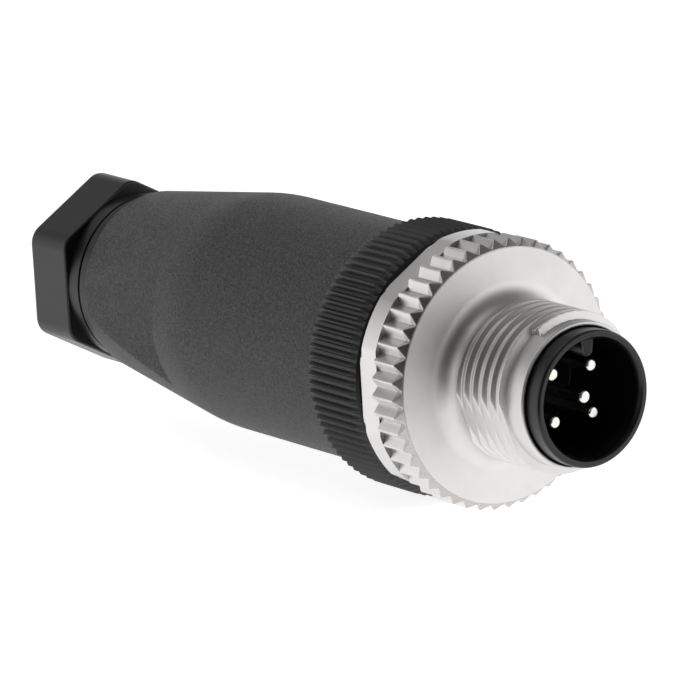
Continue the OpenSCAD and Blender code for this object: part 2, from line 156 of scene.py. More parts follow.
tree.links.new(paint.outputs[0], both.inputs[0])
tree.links.new(glow.outputs[0], both.inputs[1])
end_material(tree, both)
floor_mesh.materials.append(table_top)

world = bpy.data.worlds.new("room")
world.use_nodes = True
scene.world = world
tree = world.node_tree
tree.nodes.clear()
ray = tree.nodes.new("ShaderNodeLightPath")
facing = tree.nodes.new("ShaderNodeTexCoord")
parts = tree.nodes.new("ShaderNodeSeparateXYZ")
tree.links.new(facing.outputs["Generated"], parts.inputs[0])
ceiling = ramp(tree, parts.outputs["Z"], 0.15, 0.75, 1.0, 0.14, "SMOOTHSTEP")
towards = share_towards(tree, facing.outputs["Generated"], (0.78, -0.59, 0.20))
dim_side = ramp(tree, towards, 0.58, 0.93, 1.0, 0.04, "SMOOTHSTEP")
white = maths(tree, "MAXIMUM", maths(tree, "MULTIPLY", ceiling, dim_side),
              ray.outputs["Is Camera Ray"])
room = tree.nodes.new("ShaderNodeBackground")
room.inputs["Color"].default_value = (1, 1, 1, 1)
tree.links.new(white, room.inputs["Strength"])
sky = tree.nodes.new("ShaderNodeOutputWorld")
tree.links.new(room.outputs[0], sky.inputs["Surface"])


# Studio lamps: a wide soft box high over the left, and a low, weaker one behind on the
# right.
def soft_box(name, place, target, size, power):
    data = bpy.data.lights.new(name, "AREA")
    data.shape = "RECTANGLE"
    data.size, data.size_y = size
    data.energy = power
    lamp = bpy.data.objects.new(name, data)
    place, target = Vector(place), Vector(target)
    lamp.matrix_world = (Matrix.Translation(place)
                         @ (target - place).to_track_quat("-Z", "Y").to_matrix().to_4x4())
    scene.collection.objects.link(lamp)


soft_box("overhead_box", (-0.20, -0.12, 0.55), (-0.025, 0, 0), (0.5, 0.35), 0.45)
soft_box("side_box", (0.25, 0.45, 0.10), (-0.02, 0, 0), (0.6, 0.4), 0.28)


# Contact carrier: the glossy black nylon insert that holds the contacts. Its rim is the
# mating face, with the coding key moulded in; behind the ring it ends in the terminals.
def rounded(outline, closed=True, steps=4, support=0.04):
    """Points of an outline whose corners (x, r, fillet, label) are rounded."""
    count = len(outline)
    corners = [Vector(p[:2]) for p in outline]
    made = []
    for i, point in enumerate(outline):
        label = point[3] if len(point) > 3 else ""
        fillet = point[2] if len(point) > 2 else 0
        if fillet == 0 or (not closed and i in (0, count - 1)):
            made.append((point[0], point[1], label))
            continue
        before, here, after = corners[i - 1], corners[i], corners[(i + 1) % count]
        to_before, to_after = before - here, after - here
        half = to_before.angle(to_after) / 2
        run = min(fillet / math.tan(half), 0.42 * to_before.length, 0.42 * to_after.length)
        radius = run * math.tan(half)
        to_before, to_after = to_before.normalized(), to_after.normalized()
        centre = here + (to_before + to_after).normalized() * radius / math.sin(half)
        start, end = here + to_before * run - centre, here + to_after * run - centre
        sweep = start.angle_signed(end)
        made.append((*(here + to_before * (run + support)), label))
        for j in range(steps + 1):
            angle = -sweep * j / steps
            c, s = math.cos(angle), math.sin(angle)
            made.append((centre.x + c * start.x - s * start.y,
                         centre.y + s * start.x + c * start.y, label))
        made.append((*(here + to_after * (run + support)), label))
    return made


def turned(name, outline, angles, closed=True, shape=None, marks=None):
    """A turned mesh round the X axis from (x, r, label) points in millimetres."""
    xs = np.array([p[0] for p in outline], float)
    labels = np.array([p[2] if len(p) > 2 else "" for p in outline])
    angles = np.asarray(angles, float)
    radii = np.repeat(np.array([p[1] for p in outline], float)[:, None], len(angles), 1)
    if shape:
        radii = shape(xs, radii, labels, angles)
    rows, columns = radii.shape
    points = np.stack([np.repeat(xs[:, None], columns, 1), radii * np.cos(angles),
                       radii * np.sin(angles)], axis=2) * mm
    verts = points.reshape(-1, 3)
    index = np.arange(rows * columns).reshape(rows, columns)
    side = np.roll(index, -1, axis=1)
    last = rows if closed else rows - 1
    faces = []
    for i in range(last):
        j = (i + 1) % rows
        faces.append(np.stack([index[i], index[j], side[j], side[i]], axis=1))
    faces = np.concatenate(faces).tolist()
    mesh = bpy.data.meshes.new(name)
    mesh.from_pydata(verts.tolist(), [], faces)
    for mark, wanted in (marks or {}).items():
        values = np.repeat(np.isin(labels, wanted).astype(np.float32), columns)
        mesh.attributes.new(mark, "FLOAT", "POINT").data.foreach_set("value", values)
    shell = bmesh.new()
    shell.from_mesh(mesh)
    bmesh.ops.remove_doubles(shell, verts=shell.verts, dist=1e-8)
    bmesh.ops.dissolve_degenerate(shell, edges=shell.edges, dist=1e-8)
    bmesh.ops.recalc_face_normals(shell, faces=shell.faces)
    shell.to_mesh(mesh)
    shell.free()
    piece = bpy.data.objects.new(name, mesh)
    scene.collection.objects.link(piece)
    return piece


def even(count):
    return np.arange(count) * 2 * np.pi / count


def smooth(piece, degrees=35):
    piece.data.polygons.foreach_set("use_smooth", [True] * len(piece.data.polygons))
    piece.data.set_sharp_from_angle(angle=math.radians(degrees))


rim_x, floor_x, key_x, rear_x = 3.0, -5.0, 2.6, -7.0
rim_r, bore_r = 5.0, 4.3
key_half, key_centre = 0.45, 3.55


def key_reach(xs, radii, labels, angles):
    """Draws the cavity's wall in to the coding key where the key stands."""
    lean = (angles - np.pi / 2 + np.pi) % (2 * np.pi) - np.pi
    across = np.abs(np.sin(lean))
    hidden = np.clip(key_half**2 - (key_centre * across)**2, 0, None)
    to_tip = key_centre * np.cos(lean) - np.sqrt(hidden)
    to_side = key_half / np.maximum(across, 1e-6)
    on_tip = (hidden > 0) & (np.abs(lean) < np.pi / 2)
    beside = (np.abs(lean) < np.pi / 2) & (to_side * np.cos(lean) >= key_centre)
    key = np.where(on_tip, to_tip, np.where(beside, to_side, 99))
    rows = np.isin(labels, ["key"])
    radii[rows] = np.minimum(radii[rows], key[None, :])
    return radii


fine_key = np.radians(90 + np.linspace(-13, 13, 79))
rest = np.radians(90 + np.linspace(13.6, 346.4, 220))
carrier = turned("contact_carrier_body", rounded([
    (rear_x, 0.0), (rear_x, rim_r), (rim_x, rim_r, 0.30), (rim_x, bore_r + 0.24, 0.06),
    (rim_x - 0.34, bore_r, 0.1)], closed=False) + [
    (key_x, bore_r), (key_x, bore_r, "key"), (floor_x + 0.1, bore_r, "key"),
    (floor_x, bore_r - 0.1, "key"), (floor_x, 2.2), (floor_x, 0.0)],
    np.concatenate([fine_key, rest]), closed=False, shape=key_reach)

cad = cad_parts["contact_carrier"]
rear = bmesh.new()
rear.from_mesh(cad.data)
bmesh.ops.remove_doubles(rear, verts=rear.verts, dist=1e-7)
bmesh.ops.bisect_plane(rear, geom=rear.verts[:] + rear.edges[:] + rear.faces[:],
                       plane_co=(rear_x * mm, 0, 0), plane_no=(1, 0, 0), clear_outer=True)
bmesh.ops.holes_fill(rear, edges=[e for e in rear.edges if e.is_boundary])
rear.from_mesh(carrier.data)
rear.to_mesh(carrier.data)
rear.free()
smooth(carrier, 32)


def bump_from(tree, height, distance):
    bump = tree.nodes.new("ShaderNodeBump")
    bump.inputs["Distance"].default_value = distance
    tree.links.new(height, bump.inputs["Height"])
    return bump.outputs["Normal"]


def group_of(name, inputs, outputs):
    tree = bpy.data.node_groups.new(name, "ShaderNodeTree")
    for label, kind, value in inputs:
        socket = tree.interface.new_socket(label, in_out="INPUT", socket_type=kind)
        if value is not None:
            socket.default_value = value
    for label, kind in outputs:
        tree.interface.new_socket(label, in_out="OUTPUT", socket_type=kind)
    return tree, tree.nodes.new("NodeGroupInput"), tree.nodes.new("NodeGroupOutput")


# the grain that spark erosion leaves in a mould: rounded pits with finer speckle on them
mould_grain, into, out = group_of("mould_grain", [
    ("Vector", "NodeSocketVector", None), ("Grain Scale", "NodeSocketFloat", 9000.0),
    ("Speckle", "NodeSocketFloat", 0.4)],
    [("Height", "NodeSocketFloat"), ("Mottle", "NodeSocketFloat")])
nodes, links = mould_grain.nodes, mould_grain.links
coarse = nodes.new("ShaderNodeTexNoise")
coarse.inputs["Detail"].default_value = 3
coarse.inputs["Roughness"].default_value = 0.6
links.new(into.outputs["Vector"], coarse.inputs["Vector"])
links.new(into.outputs["Grain Scale"], coarse.inputs["Scale"])
cells = nodes.new("ShaderNodeTexVoronoi")
links.new(into.outputs["Vector"], cells.inputs["Vector"])
links.new(maths(mould_grain, "MULTIPLY", into.outputs["Grain Scale"], 2.6),
          cells.inputs["Scale"])
pits = maths(mould_grain, "MULTIPLY", cells.outputs["Distance"], into.outputs["Speckle"])
links.new(maths(mould_grain, "ADD", coarse.outputs["Fac"], pits), out.inputs["Height"])
slow = nodes.new("ShaderNodeTexNoise")
slow.inputs["Scale"].default_value = 420
slow.inputs["Detail"].default_value = 2
links.new(into.outputs["Vector"], slow.inputs["Vector"])
links.new(slow.outputs["Fac"], out.inputs["Mottle"])


def moulded(name, colour, light, rough, grain, depth, speckle=0.4):
    """A moulded plastic or rubber, with grain, a little mottling and its own gloss."""
    made, tree = new_material(name)
    place = tree.nodes.new("ShaderNodeTexCoord")
    skin = tree.nodes.new("ShaderNodeGroup")
    skin.node_tree = mould_grain
    skin.inputs["Grain Scale"].default_value = grain
    skin.inputs["Speckle"].default_value = speckle
    tree.links.new(place.outputs["Object"], skin.inputs["Vector"])
    spread = ramp(tree, skin.outputs["Height"], 0.60, 1.0)
    dull = ramp(tree, skin.outputs["Mottle"], 0.0, 1.0, rough - 0.05, rough + 0.05)
    plastic = tree.nodes.new("ShaderNodeBsdfPrincipled")
    tree.links.new(mixed(tree, spread, (*colour, 1), (*light, 1)), plastic.inputs["Base Color"])
    tree.links.new(dull, plastic.inputs["Roughness"])
    tree.links.new(bump_from(tree, skin.outputs["Height"], depth * mm), plastic.inputs["Normal"])
    end_material(tree, plastic)
    return made


carrier_nylon = moulded("carrier_nylon", (0.006, 0.006, 0.007), (0.010, 0.010, 0.011),
                        0.30, 6000, 0.004)
carrier.data.materials.append(carrier_nylon)
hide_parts("contact_carrier")
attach(carrier, "insert")


# Contacts: five turned brass contacts, plated bright, pressed into the carrier. Four
# stand on the pitch circle and one in the middle; each ends in a screw barrel.
def new_tree(name, inputs):
    tree = bpy.data.node_groups.new(name, "GeometryNodeTree")
    tree.interface.new_socket("Geometry", in_out="INPUT", socket_type="NodeSocketGeometry")
    for label, kind, value in inputs:
        socket = tree.interface.new_socket(label, in_out="INPUT", socket_type=kind)
        if value is not None:
            socket.default_value = value
    tree.interface.new_socket("Geometry", in_out="OUTPUT", socket_type="NodeSocketGeometry")
    return tree, tree.nodes.new("NodeGroupInput"), tree.nodes.new("NodeGroupOutput")


def close_tree(tree, geometry, into, out):
    """Ends a tree in Realize Instances and Set Material."""
    real = tree.nodes.new("GeometryNodeRealizeInstances")
    dress = tree.nodes.new("GeometryNodeSetMaterial")
    tree.links.new(geometry, real.inputs["Geometry"])
    tree.links.new(real.outputs["Geometry"], dress.inputs["Geometry"])
    tree.links.new(into.outputs["Material"], dress.inputs["Material"])
    tree.links.new(dress.outputs["Geometry"], out.inputs["Geometry"])


def grow(piece, tree, values, degrees=35):
    """Runs a tree on a piece and keeps its result as the piece's own plain mesh."""
    run = piece.modifiers.new(tree.name, "NODES")
    run.node_group = tree
    sockets = {s.name: s.identifier for s in tree.interface.items_tree
               if s.in_out == "INPUT"}
    for label, value in values.items():
        run[sockets[label]] = value
    piece.data.update()
    shaped = piece.evaluated_get(bpy.context.evaluated_depsgraph_get())
    plain = bpy.data.meshes.new_from_object(shaped)
    piece.modifiers.remove(run)
    piece.data = plain
    smooth(piece, degrees)


pin_r, shank_r, barrel_r, wire_r = 0.5, 0.9, 1.3, 0.65


def contact_outline(tip, barrel, end):
    shank = -7.52
    return rounded([
        (tip, 0.0), (tip, pin_r, 0.42), (shank, pin_r), (shank, shank_r), (barrel, shank_r),
        (barrel, barrel_r, 0.1), (end, barrel_r, 0.1), (end, wire_r, 0.08),
        (end + 4.0, wire_r), (end + 4.4, 0.0)], closed=False, steps=6)


contact_plate, tree = new_material("contact_plate")
place = tree.nodes.new("ShaderNodeTexCoord")
marks = tree.nodes.new("ShaderNodeTexNoise")
marks.inputs["Scale"].default_value = 5000
tree.links.new(place.outputs["Object"], marks.inputs["Vector"])
bright = tree.nodes.new("ShaderNodeBsdfPrincipled")
bright.inputs["Base Color"].default_value = (0.86, 0.84, 0.79, 1)
bright.inputs["Metallic"].default_value = 1.0
tree.links.new(ramp(tree, marks.outputs["Fac"], 0.0, 1.0, 0.10, 0.22), bright.inputs["Roughness"])
tree.links.new(bump_from(tree, marks.outputs["Fac"], 0.0015 * mm), bright.inputs["Normal"])
end_material(tree, bright)

contact_ring, into, out = new_tree("contact_ring", [
    ("Pitch Circle", "NodeSocketFloat", 0.005), ("Count", "NodeSocketInt", 4),
    ("Turn", "NodeSocketFloat", 0.0), ("Material", "NodeSocketMaterial", None)])
nodes, links = contact_ring.nodes, contact_ring.links
circle = nodes.new("GeometryNodeMeshCircle")
links.new(into.outputs["Count"], circle.inputs["Vertices"])
links.new(maths(contact_ring, "MULTIPLY", into.outputs["Pitch Circle"], 0.5),
          circle.inputs["Radius"])
stand = nodes.new("GeometryNodeTransform")
stand.inputs["Rotation"].default_value = (0, math.pi / 2, 0)
links.new(circle.outputs["Mesh"], stand.inputs["Geometry"])
spin = nodes.new("ShaderNodeCombineXYZ")
links.new(into.outputs["Turn"], spin.inputs["X"])
turned_round = nodes.new("GeometryNodeTransform")
links.new(stand.outputs["Geometry"], turned_round.inputs["Geometry"])
links.new(spin.outputs[0], turned_round.inputs["Rotation"])
seat = nodes.new("GeometryNodeInstanceOnPoints")
links.new(turned_round.outputs["Geometry"], seat.inputs["Points"])
links.new(into.outputs["Geometry"], seat.inputs["Instance"])
close_tree(contact_ring, seat.outputs["Instances"], into, out)

outer = turned("outer_contacts", contact_outline(0.8, -21.46, -28.96), even(40), closed=False)
grow(outer, contact_ring, {"Pitch Circle": 5 * mm, "Count": 4, "Turn": math.radians(45),
                           "Material": contact_plate})
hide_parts("pin_1", "pin_2", "pin_3", "pin_4")
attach(outer, "insert")

centre = turned("centre_contact", contact_outline(2.1, -29.26, -33.96), even(40), closed=False)
centre.data.materials.append(contact_plate)
smooth(centre)
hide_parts("pin_5")
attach(centre, "insert")


# Terminal screws: small nickel-plated steel cheese-head screws, one to each barrel,
# with a driver slot across the head. Each turns by itself.
screw_d, head_d, head_h, slot_w, slot_depth = 1.7, 2.2, 0.9, 0.4, 0.45
steel, tree = new_material("screw_steel")
place = tree.nodes.new("ShaderNodeTexCoord")
rings = tree.nodes.new("ShaderNodeTexNoise")
rings.inputs["Scale"].default_value = 7000
rings.inputs["Detail"].default_value = 3
tree.links.new(place.outputs["Object"], rings.inputs["Vector"])
bright = tree.nodes.new("ShaderNodeBsdfPrincipled")
bright.inputs["Base Color"].default_value = (0.72, 0.71, 0.68, 1)
bright.inputs["Metallic"].default_value = 1.0
tree.links.new(ramp(tree, rings.outputs["Fac"], 0.0, 1.0, 0.22, 0.40), bright.inputs["Roughness"])
tree.links.new(bump_from(tree, rings.outputs["Fac"], 0.003 * mm), bright.inputs["Normal"])
end_material(tree, bright)

slot_cut, into, out = new_tree("slotted_screw", [
    ("Slot Width", "NodeSocketFloat", 0.0004), ("Slot Depth", "NodeSocketFloat", 0.00045),
    ("Head Radius", "NodeSocketFloat", 0.0112), ("Angle", "NodeSocketFloat", 0.0),
    ("Station", "NodeSocketFloat", 0.0), ("Material", "NodeSocketMaterial", None)])
nodes, links = slot_cut.nodes, slot_cut.links
cutter = nodes.new("GeometryNodeMeshCube")
size = nodes.new("ShaderNodeCombineXYZ")
links.new(maths(slot_cut, "MULTIPLY", into.outputs["Slot Depth"], 2.0), size.inputs["X"])
size.inputs["Y"].default_value = 0.005
links.new(into.outputs["Slot Width"], size.inputs["Z"])
links.new(size.outputs[0], cutter.inputs["Size"])
slotted = nodes.new("GeometryNodeMeshBoolean")
slotted.operation = "DIFFERENCE"
slotted.solver = "EXACT"
links.new(into.outputs["Geometry"], slotted.inputs["Mesh 1"])
links.new(cutter.outputs["Mesh"], slotted.inputs["Mesh 2"])
raised = nodes.new("GeometryNodeTransform")
links.new(slotted.outputs["Mesh"], raised.inputs["Geometry"])
lift = nodes.new("ShaderNodeCombineXYZ")
links.new(into.outputs["Head Radius"], lift.inputs["X"])
links.new(lift.outputs[0], raised.inputs["Translation"])
upright = nodes.new("GeometryNodeTransform")
links.new(raised.outputs["Geometry"], upright.inputs["Geometry"])
facing = nodes.new("ShaderNodeCombineXYZ")
facing.inputs["Z"].default_value = math.pi / 2
links.new(facing.outputs[0], upright.inputs["Rotation"])
placed = nodes.new("GeometryNodeTransform")
links.new(upright.outputs["Geometry"], placed.inputs["Geometry"])
swing = nodes.new("ShaderNodeCombineXYZ")
links.new(into.outputs["Angle"], swing.inputs["X"])
links.new(swing.outputs[0], placed.inputs["Rotation"])
along = nodes.new("ShaderNodeCombineXYZ")
links.new(into.outputs["Station"], along.inputs["X"])
links.new(along.outputs[0], placed.inputs["Translation"])
close_tree(slot_cut, placed.outputs["Geometry"], into, out)

for number, (angle, station, head_r, tip_r) in enumerate(
        [(135, -26.36, 5.5, 3.2), (45, -26.36, 5.5, 3.2), (-45, -26.36, 5.5, 3.2),
         (-135, -26.36, 5.5, 3.2), (90, -31.76, 2.9, 0.7)], 1):
    length = head_r - tip_r
    screw = turned(f"terminal_screw_{number}_metal", rounded([
        (0.0, 0.0), (0.0, head_d / 2, 0.12), (-head_h, head_d / 2), (-head_h, screw_d / 2),
        (-length, screw_d / 2, 0.15), (-length, 0.0)], closed=False, support=0.02),
        even(48), closed=False)
    grow(screw, slot_cut, {
        "Slot Width": slot_w * mm, "Slot Depth": slot_depth * mm,
        "Head Radius": head_r * mm, "Angle": math.radians(angle - 90),
        "Station": station * mm, "Material": steel})
    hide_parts(f"terminal_screw_{number}")
    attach(screw, f"screw_{number}")


# Coupling ring: zinc die-casting, plated satin nickel. The M12 thread is moulded with
# two flats along it; behind the flange come the grip teeth and the spanner band.
cut_thread, into, out = new_tree("cut_thread", [
    ("Pitch", "NodeSocketFloat", 0.001), ("Depth", "NodeSocketFloat", 0.0005),
    ("Crest", "NodeSocketFloat", 0.3), ("Root", "NodeSocketFloat", 0.2),
    ("Start", "NodeSocketFloat", 0.0), ("Flats", "NodeSocketFloat", 0.1),
    ("Flats Turn", "NodeSocketFloat", 0.0), ("Begin", "NodeSocketFloat", 0.0),
    ("Lead End", "NodeSocketFloat", 1.0), ("Pilot", "NodeSocketFloat", 0.0),
    ("Material", "NodeSocketMaterial", None)])


def axis_fields(tree):
    """Distance along the axis, angle and radius at a point."""
    place = tree.nodes.new("GeometryNodeInputPosition")
    parts = tree.nodes.new("ShaderNodeSeparateXYZ")
    tree.links.new(place.outputs[0], parts.inputs[0])
    angle = maths(tree, "ARCTAN2", parts.outputs["Z"], parts.outputs["Y"])
    square = maths(tree, "ADD", maths(tree, "MULTIPLY", parts.outputs["Y"], parts.outputs["Y"]),
                   maths(tree, "MULTIPLY", parts.outputs["Z"], parts.outputs["Z"]))
    radius = maths(tree, "SQRT", square)
    return parts.outputs["X"], angle, radius


def push_to(tree, geometry, angle, radius, new_radius):
    """Moves points in or out to a new radius."""
    change = maths(tree, "SUBTRACT", new_radius, radius)
    step = tree.nodes.new("ShaderNodeCombineXYZ")
    tree.links.new(maths(tree, "MULTIPLY", change, maths(tree, "COSINE", angle)),
                   step.inputs["Y"])
    tree.links.new(maths(tree, "MULTIPLY", change, maths(tree, "SINE", angle)),
                   step.inputs["Z"])
    move = tree.nodes.new("GeometryNodeSetPosition")
    tree.links.new(geometry, move.inputs["Geometry"])
    tree.links.new(step.outputs[0], move.inputs["Offset"])
    return move.outputs["Geometry"]


def mark_field(tree, mark):
    node = tree.nodes.new("GeometryNodeInputNamedAttribute")
    node.data_type = "FLOAT"
    node.inputs["Name"].default_value = mark
    return node.outputs["Attribute"]


station, angle, radius = axis_fields(cut_thread)
turns = maths(cut_thread, "ADD", maths(cut_thread, "DIVIDE", station, into.outputs["Pitch"]),
              maths(cut_thread, "DIVIDE",
                    maths(cut_thread, "ADD", angle, into.outputs["Start"]), -2 * math.pi))
phase = maths(cut_thread, "FRACT", turns)
groove = maths(cut_thread, "ABSOLUTE",
               maths(cut_thread, "MULTIPLY_ADD", phase, 2.0, -1.0))
height = ramp(cut_thread, groove, into.outputs["Root"],
              maths(cut_thread, "SUBTRACT", 1.0, into.outputs["Crest"]), shape="SMOOTHSTEP")
cut = maths(cut_thread, "MULTIPLY", into.outputs["Depth"],
            maths(cut_thread, "SUBTRACT", 1.0, height))
threaded = maths(cut_thread, "SUBTRACT", radius,
                 maths(cut_thread, "MULTIPLY", cut, mark_field(cut_thread, "thread")))
# the blunt first turn: in front of it the barrel drops to the plain pilot
run_out = maths(cut_thread, "FRACT", maths(cut_thread, "DIVIDE", maths(
    cut_thread, "SUBTRACT", into.outputs["Begin"], angle), 2 * math.pi))
ahead = maths(cut_thread, "SUBTRACT", station, maths(
    cut_thread, "SUBTRACT", into.outputs["Lead End"],
    maths(cut_thread, "MULTIPLY", run_out, into.outputs["Pitch"])))
step_down = maths(cut_thread, "SUBTRACT", radius, maths(
    cut_thread, "MULTIPLY", maths(cut_thread, "MAXIMUM", ahead, 0.0), 3.5))
threaded = maths(cut_thread, "MINIMUM", threaded, maths(
    cut_thread, "MAXIMUM", step_down, into.outputs["Pilot"]))
across = maths(cut_thread, "ABSOLUTE", maths(cut_thread, "COSINE", maths(
    cut_thread, "SUBTRACT", angle, into.outputs["Flats Turn"])))
limit = maths(cut_thread, "DIVIDE", into.outputs["Flats"],
              maths(cut_thread, "MAXIMUM", across, 0.05))
held = maths(cut_thread, "SMOOTH_MIN", threaded, limit, 0.00008)
flattened = maths(cut_thread, "ADD", threaded, maths(
    cut_thread, "MULTIPLY", mark_field(cut_thread, "flat"),
    maths(cut_thread, "SUBTRACT", held, threaded)))
close_tree(cut_thread, push_to(cut_thread, into.outputs["Geometry"], angle, radius, flattened),
           into, out)

ribs, into, out = new_tree("raise_ribs", [
    ("Count", "NodeSocketFloat", 48.0), ("Depth", "NodeSocketFloat", 0.0005),
    ("Crest", "NodeSocketFloat", 0.12), ("Root", "NodeSocketFloat", 0.88),
    ("Reach", "NodeSocketFloat", 0.01), ("Material", "NodeSocketMaterial", None)])
_, angle, radius = axis_fields(ribs)
phase = maths(ribs, "FRACT", maths(ribs, "MULTIPLY_ADD", maths(ribs, "MULTIPLY", maths(
    ribs, "SUBTRACT", angle, math.pi / 2), into.outputs["Count"]), 1 / (2 * math.pi), 100.5))
off_crest = maths(ribs, "ABSOLUTE", maths(ribs, "MULTIPLY_ADD", phase, 2.0, -1.0))
drop = ramp(ribs, off_crest, into.outputs["Crest"], into.outputs["Root"])
rib_top = maths(ribs, "SUBTRACT", into.outputs["Reach"],
                maths(ribs, "MULTIPLY", into.outputs["Depth"], drop))
over_rib = maths(ribs, "MAXIMUM", maths(ribs, "SUBTRACT", radius, rib_top), 0.0)
close_tree(ribs, push_to(ribs, into.outputs["Geometry"], angle, radius, maths(
    ribs, "SUBTRACT", radius, maths(ribs, "MULTIPLY", over_rib, mark_field(ribs, "rib")))),
    into, out)

# the plated casting: a fine orange-peel skin over a satin gloss, with a grainy painted
# shade darkening it across a given band
cast_skin, into, out = group_of("cast_skin", [
    ("Vector", "NodeSocketVector", None), ("Skin Scale", "NodeSocketFloat", 3500.0)],
    [("Height", "NodeSocketFloat"), ("Grain", "NodeSocketFloat"), ("Cloud", "NodeSocketFloat")])
nodes, links = cast_skin.nodes, cast_skin.links
peel = nodes.new("ShaderNodeTexNoise")
peel.inputs["Detail"].default_value = 2
links.new(into.outputs["Vector"], peel.inputs["Vector"])
links.new(into.outputs["Skin Scale"], peel.inputs["Scale"])
links.new(peel.outputs["Fac"], out.inputs["Height"])
sand = nodes.new("ShaderNodeTexNoise")
sand.inputs["Scale"].default_value = 14000
sand.inputs["Detail"].default_value = 3
links.new(into.outputs["Vector"], sand.inputs["Vector"])
links.new(sand.outputs["Fac"], out.inputs["Grain"])
cloud = nodes.new("ShaderNodeTexNoise")
cloud.inputs["Scale"].default_value = 500
links.new(into.outputs["Vector"], cloud.inputs["Vector"])
links.new(cloud.outputs["Fac"], out.inputs["Cloud"])


def satin_nickel(name, rough, peel_depth, sand_depth, painted_shade_band=None):
    """Plated casting; across the painted-shade band (from x, to x) the colour is darkened,
    patchily with the grain.
    """
    made, tree = new_material(name)
    place = tree.nodes.new("ShaderNodeTexCoord")
    skin = tree.nodes.new("ShaderNodeGroup")
    skin.node_tree = cast_skin
    tree.links.new(place.outputs["Object"], skin.inputs["Vector"])
    grain = skin.outputs["Grain"]
    colour = mixed(tree, skin.outputs["Cloud"], (0.70, 0.685, 0.675, 1), (0.80, 0.785, 0.775, 1))
    # painted shade: inside the band the colour is darkened towards (0.30, 0.29, 0.28), patchily
    # with the grain
    if painted_shade_band:
        back_x, front_x = painted_shade_band
        parts = tree.nodes.new("ShaderNodeSeparateXYZ")
        tree.links.new(place.outputs["Object"], parts.inputs[0])
        in_shade_band = maths(tree, "COMPARE", parts.outputs["X"], (back_x + front_x) / 2 * mm,
                       (front_x - back_x) / 2 * mm)
        colour = mixed(tree, maths(tree, "MULTIPLY", in_shade_band, grain), colour,
                       (0.30, 0.29, 0.28, 1))
    height = maths(tree, "MULTIPLY_ADD", grain, sand_depth / peel_depth, skin.outputs["Height"])
    metal = tree.nodes.new("ShaderNodeBsdfPrincipled")
    metal.inputs["Metallic"].default_value = 1.0
    tree.links.new(colour, metal.inputs["Base Color"])
    tree.links.new(ramp(tree, grain, 0.0, 1.0, rough - 0.06, rough + 0.06),
                   metal.inputs["Roughness"])
    tree.links.new(bump_from(tree, height, peel_depth * mm), metal.inputs["Normal"])
    end_material(tree, metal)
    return made


thread_r, pilot_r, barrel_back, flange_x, flange_r = 6.0, 5.4, -5.2, -6.91, 9.42
ring_bore, pocket_x, pocket_r, lip_x, lip_r = 5.08, -7.82, 7.6, -10.36, 7.0
pilot_x, root_r, fillet_r = 1.6, 7.2, 1.5
band_x, ring_back = -9.86, -11.76
steps = [(x, thread_r - 0.01, 0, "thread") for x in np.concatenate(
    [np.linspace(1.05, -0.55, 80), np.linspace(-0.6, barrel_back, 96)])]
fillet = [(barrel_back - fillet_r * math.sin(a), root_r - fillet_r * math.cos(a))
          for a in np.radians(np.linspace(0, 87, 16))]
barrel = turned("coupling_ring_barrel", rounded(
    [(pilot_x, ring_bore, 0.1), (pilot_x, pilot_r, 0.16), (1.1, pilot_r)] + steps
    + fillet + [(-6.78, 8.0, 0), (flange_x, flange_r, 0.03), (flange_x - 0.05, 9.3, 0.0),
                (flange_x - 0.2, 8.6, 0.0), (-7.4, 8.6, 0.0), (-7.4, ring_bore, 0.0)]),
    even(288), marks={"thread": ["thread"], "flat": ["thread"]})
thread_nickel = satin_nickel("thread_nickel", 0.44, 0.004, 0.001)
grow(barrel, cut_thread, {
    "Pitch": 1.0 * mm, "Depth": 0.34 * mm, "Crest": 0.14, "Root": 0.22, "Start": 1.02,
    "Begin": math.radians(118), "Lead End": 0.6 * mm, "Pilot": pilot_r * mm,
    "Flats": 5.62 * mm, "Flats Turn": math.radians(17), "Material": thread_nickel})
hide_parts("coupling_ring")
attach(barrel, "ring")


def from_flat(angles):
    """Angle from the middle of the nearest of six flats, one of them towards +Y."""
    return (angles + np.pi / 6) % (np.pi / 3) - np.pi / 6


def soft_min(radii, limit, soften):
    """The smaller of two radii, with the edge where they meet softened."""
    gap = np.maximum(soften - np.abs(radii - limit), 0) / soften
    return np.minimum(radii, limit) - gap**3 * soften / 6


def tooth_columns(count, per_tooth):
    pitch = 2 * np.pi / count
    return np.concatenate([np.pi / 2 + (i + np.array(per_tooth)) * pitch
                           for i in range(count)])


band_flat, band_corner_r = 9.45, 9.97


def band_reach(xs, radii, labels, angles):
    """Gives the spanner band its six flats."""
    shape = soft_min(band_flat / np.cos(from_flat(angles)), band_corner_r, soften=0.1)
    rows = np.isin(labels, ["band"])
    radii[rows] = np.minimum(radii[rows], shape[None, :])
    return radii


grip_ring = turned("coupling_ring_grip", rounded([
    (flange_x - 0.16, 8.4), (flange_x - 0.04, 9.40, 0.0, "rib")]
    + [(flange_x - 0.04 - 0.56 * t, 9.42 + 0.58 * t, 0.0, "rib")
       for t in np.linspace(0.04, 1, 14)] + [
    (band_x + 0.02, 10.0, 0.06, "rib"), (band_x, 9.47, 0.0, "rib"), (band_x, 9.44, 0.0),
    (band_x, 9.44, 0.0, "band"), (band_x, 10.0, 0.0, "band"), (ring_back + 0.3, 10.0, 0.1, "band"),
    (ring_back, 9.67, 0.05, "band"), (ring_back, lip_r, 0.1), (lip_x, lip_r, 0.1),
    (lip_x, pocket_r, 0.0), (pocket_x, pocket_r, 0.2), (pocket_x, 6.2, 0.0)]),
    tooth_columns(48, [-0.44, -0.34, -0.25, -0.16, -0.08, -0.06, 0.0, 0.06, 0.08, 0.16,
                       0.25, 0.34, 0.44, 0.5]),
    shape=band_reach, marks={"rib": ["rib"]})
# painted shade: the colour darkens, grainy, just behind the flange where the teeth start
grip_nickel = satin_nickel("grip_nickel", 0.34, 0.006, 0.003,
                           painted_shade_band=(flange_x - 0.6, flange_x + 0.2))
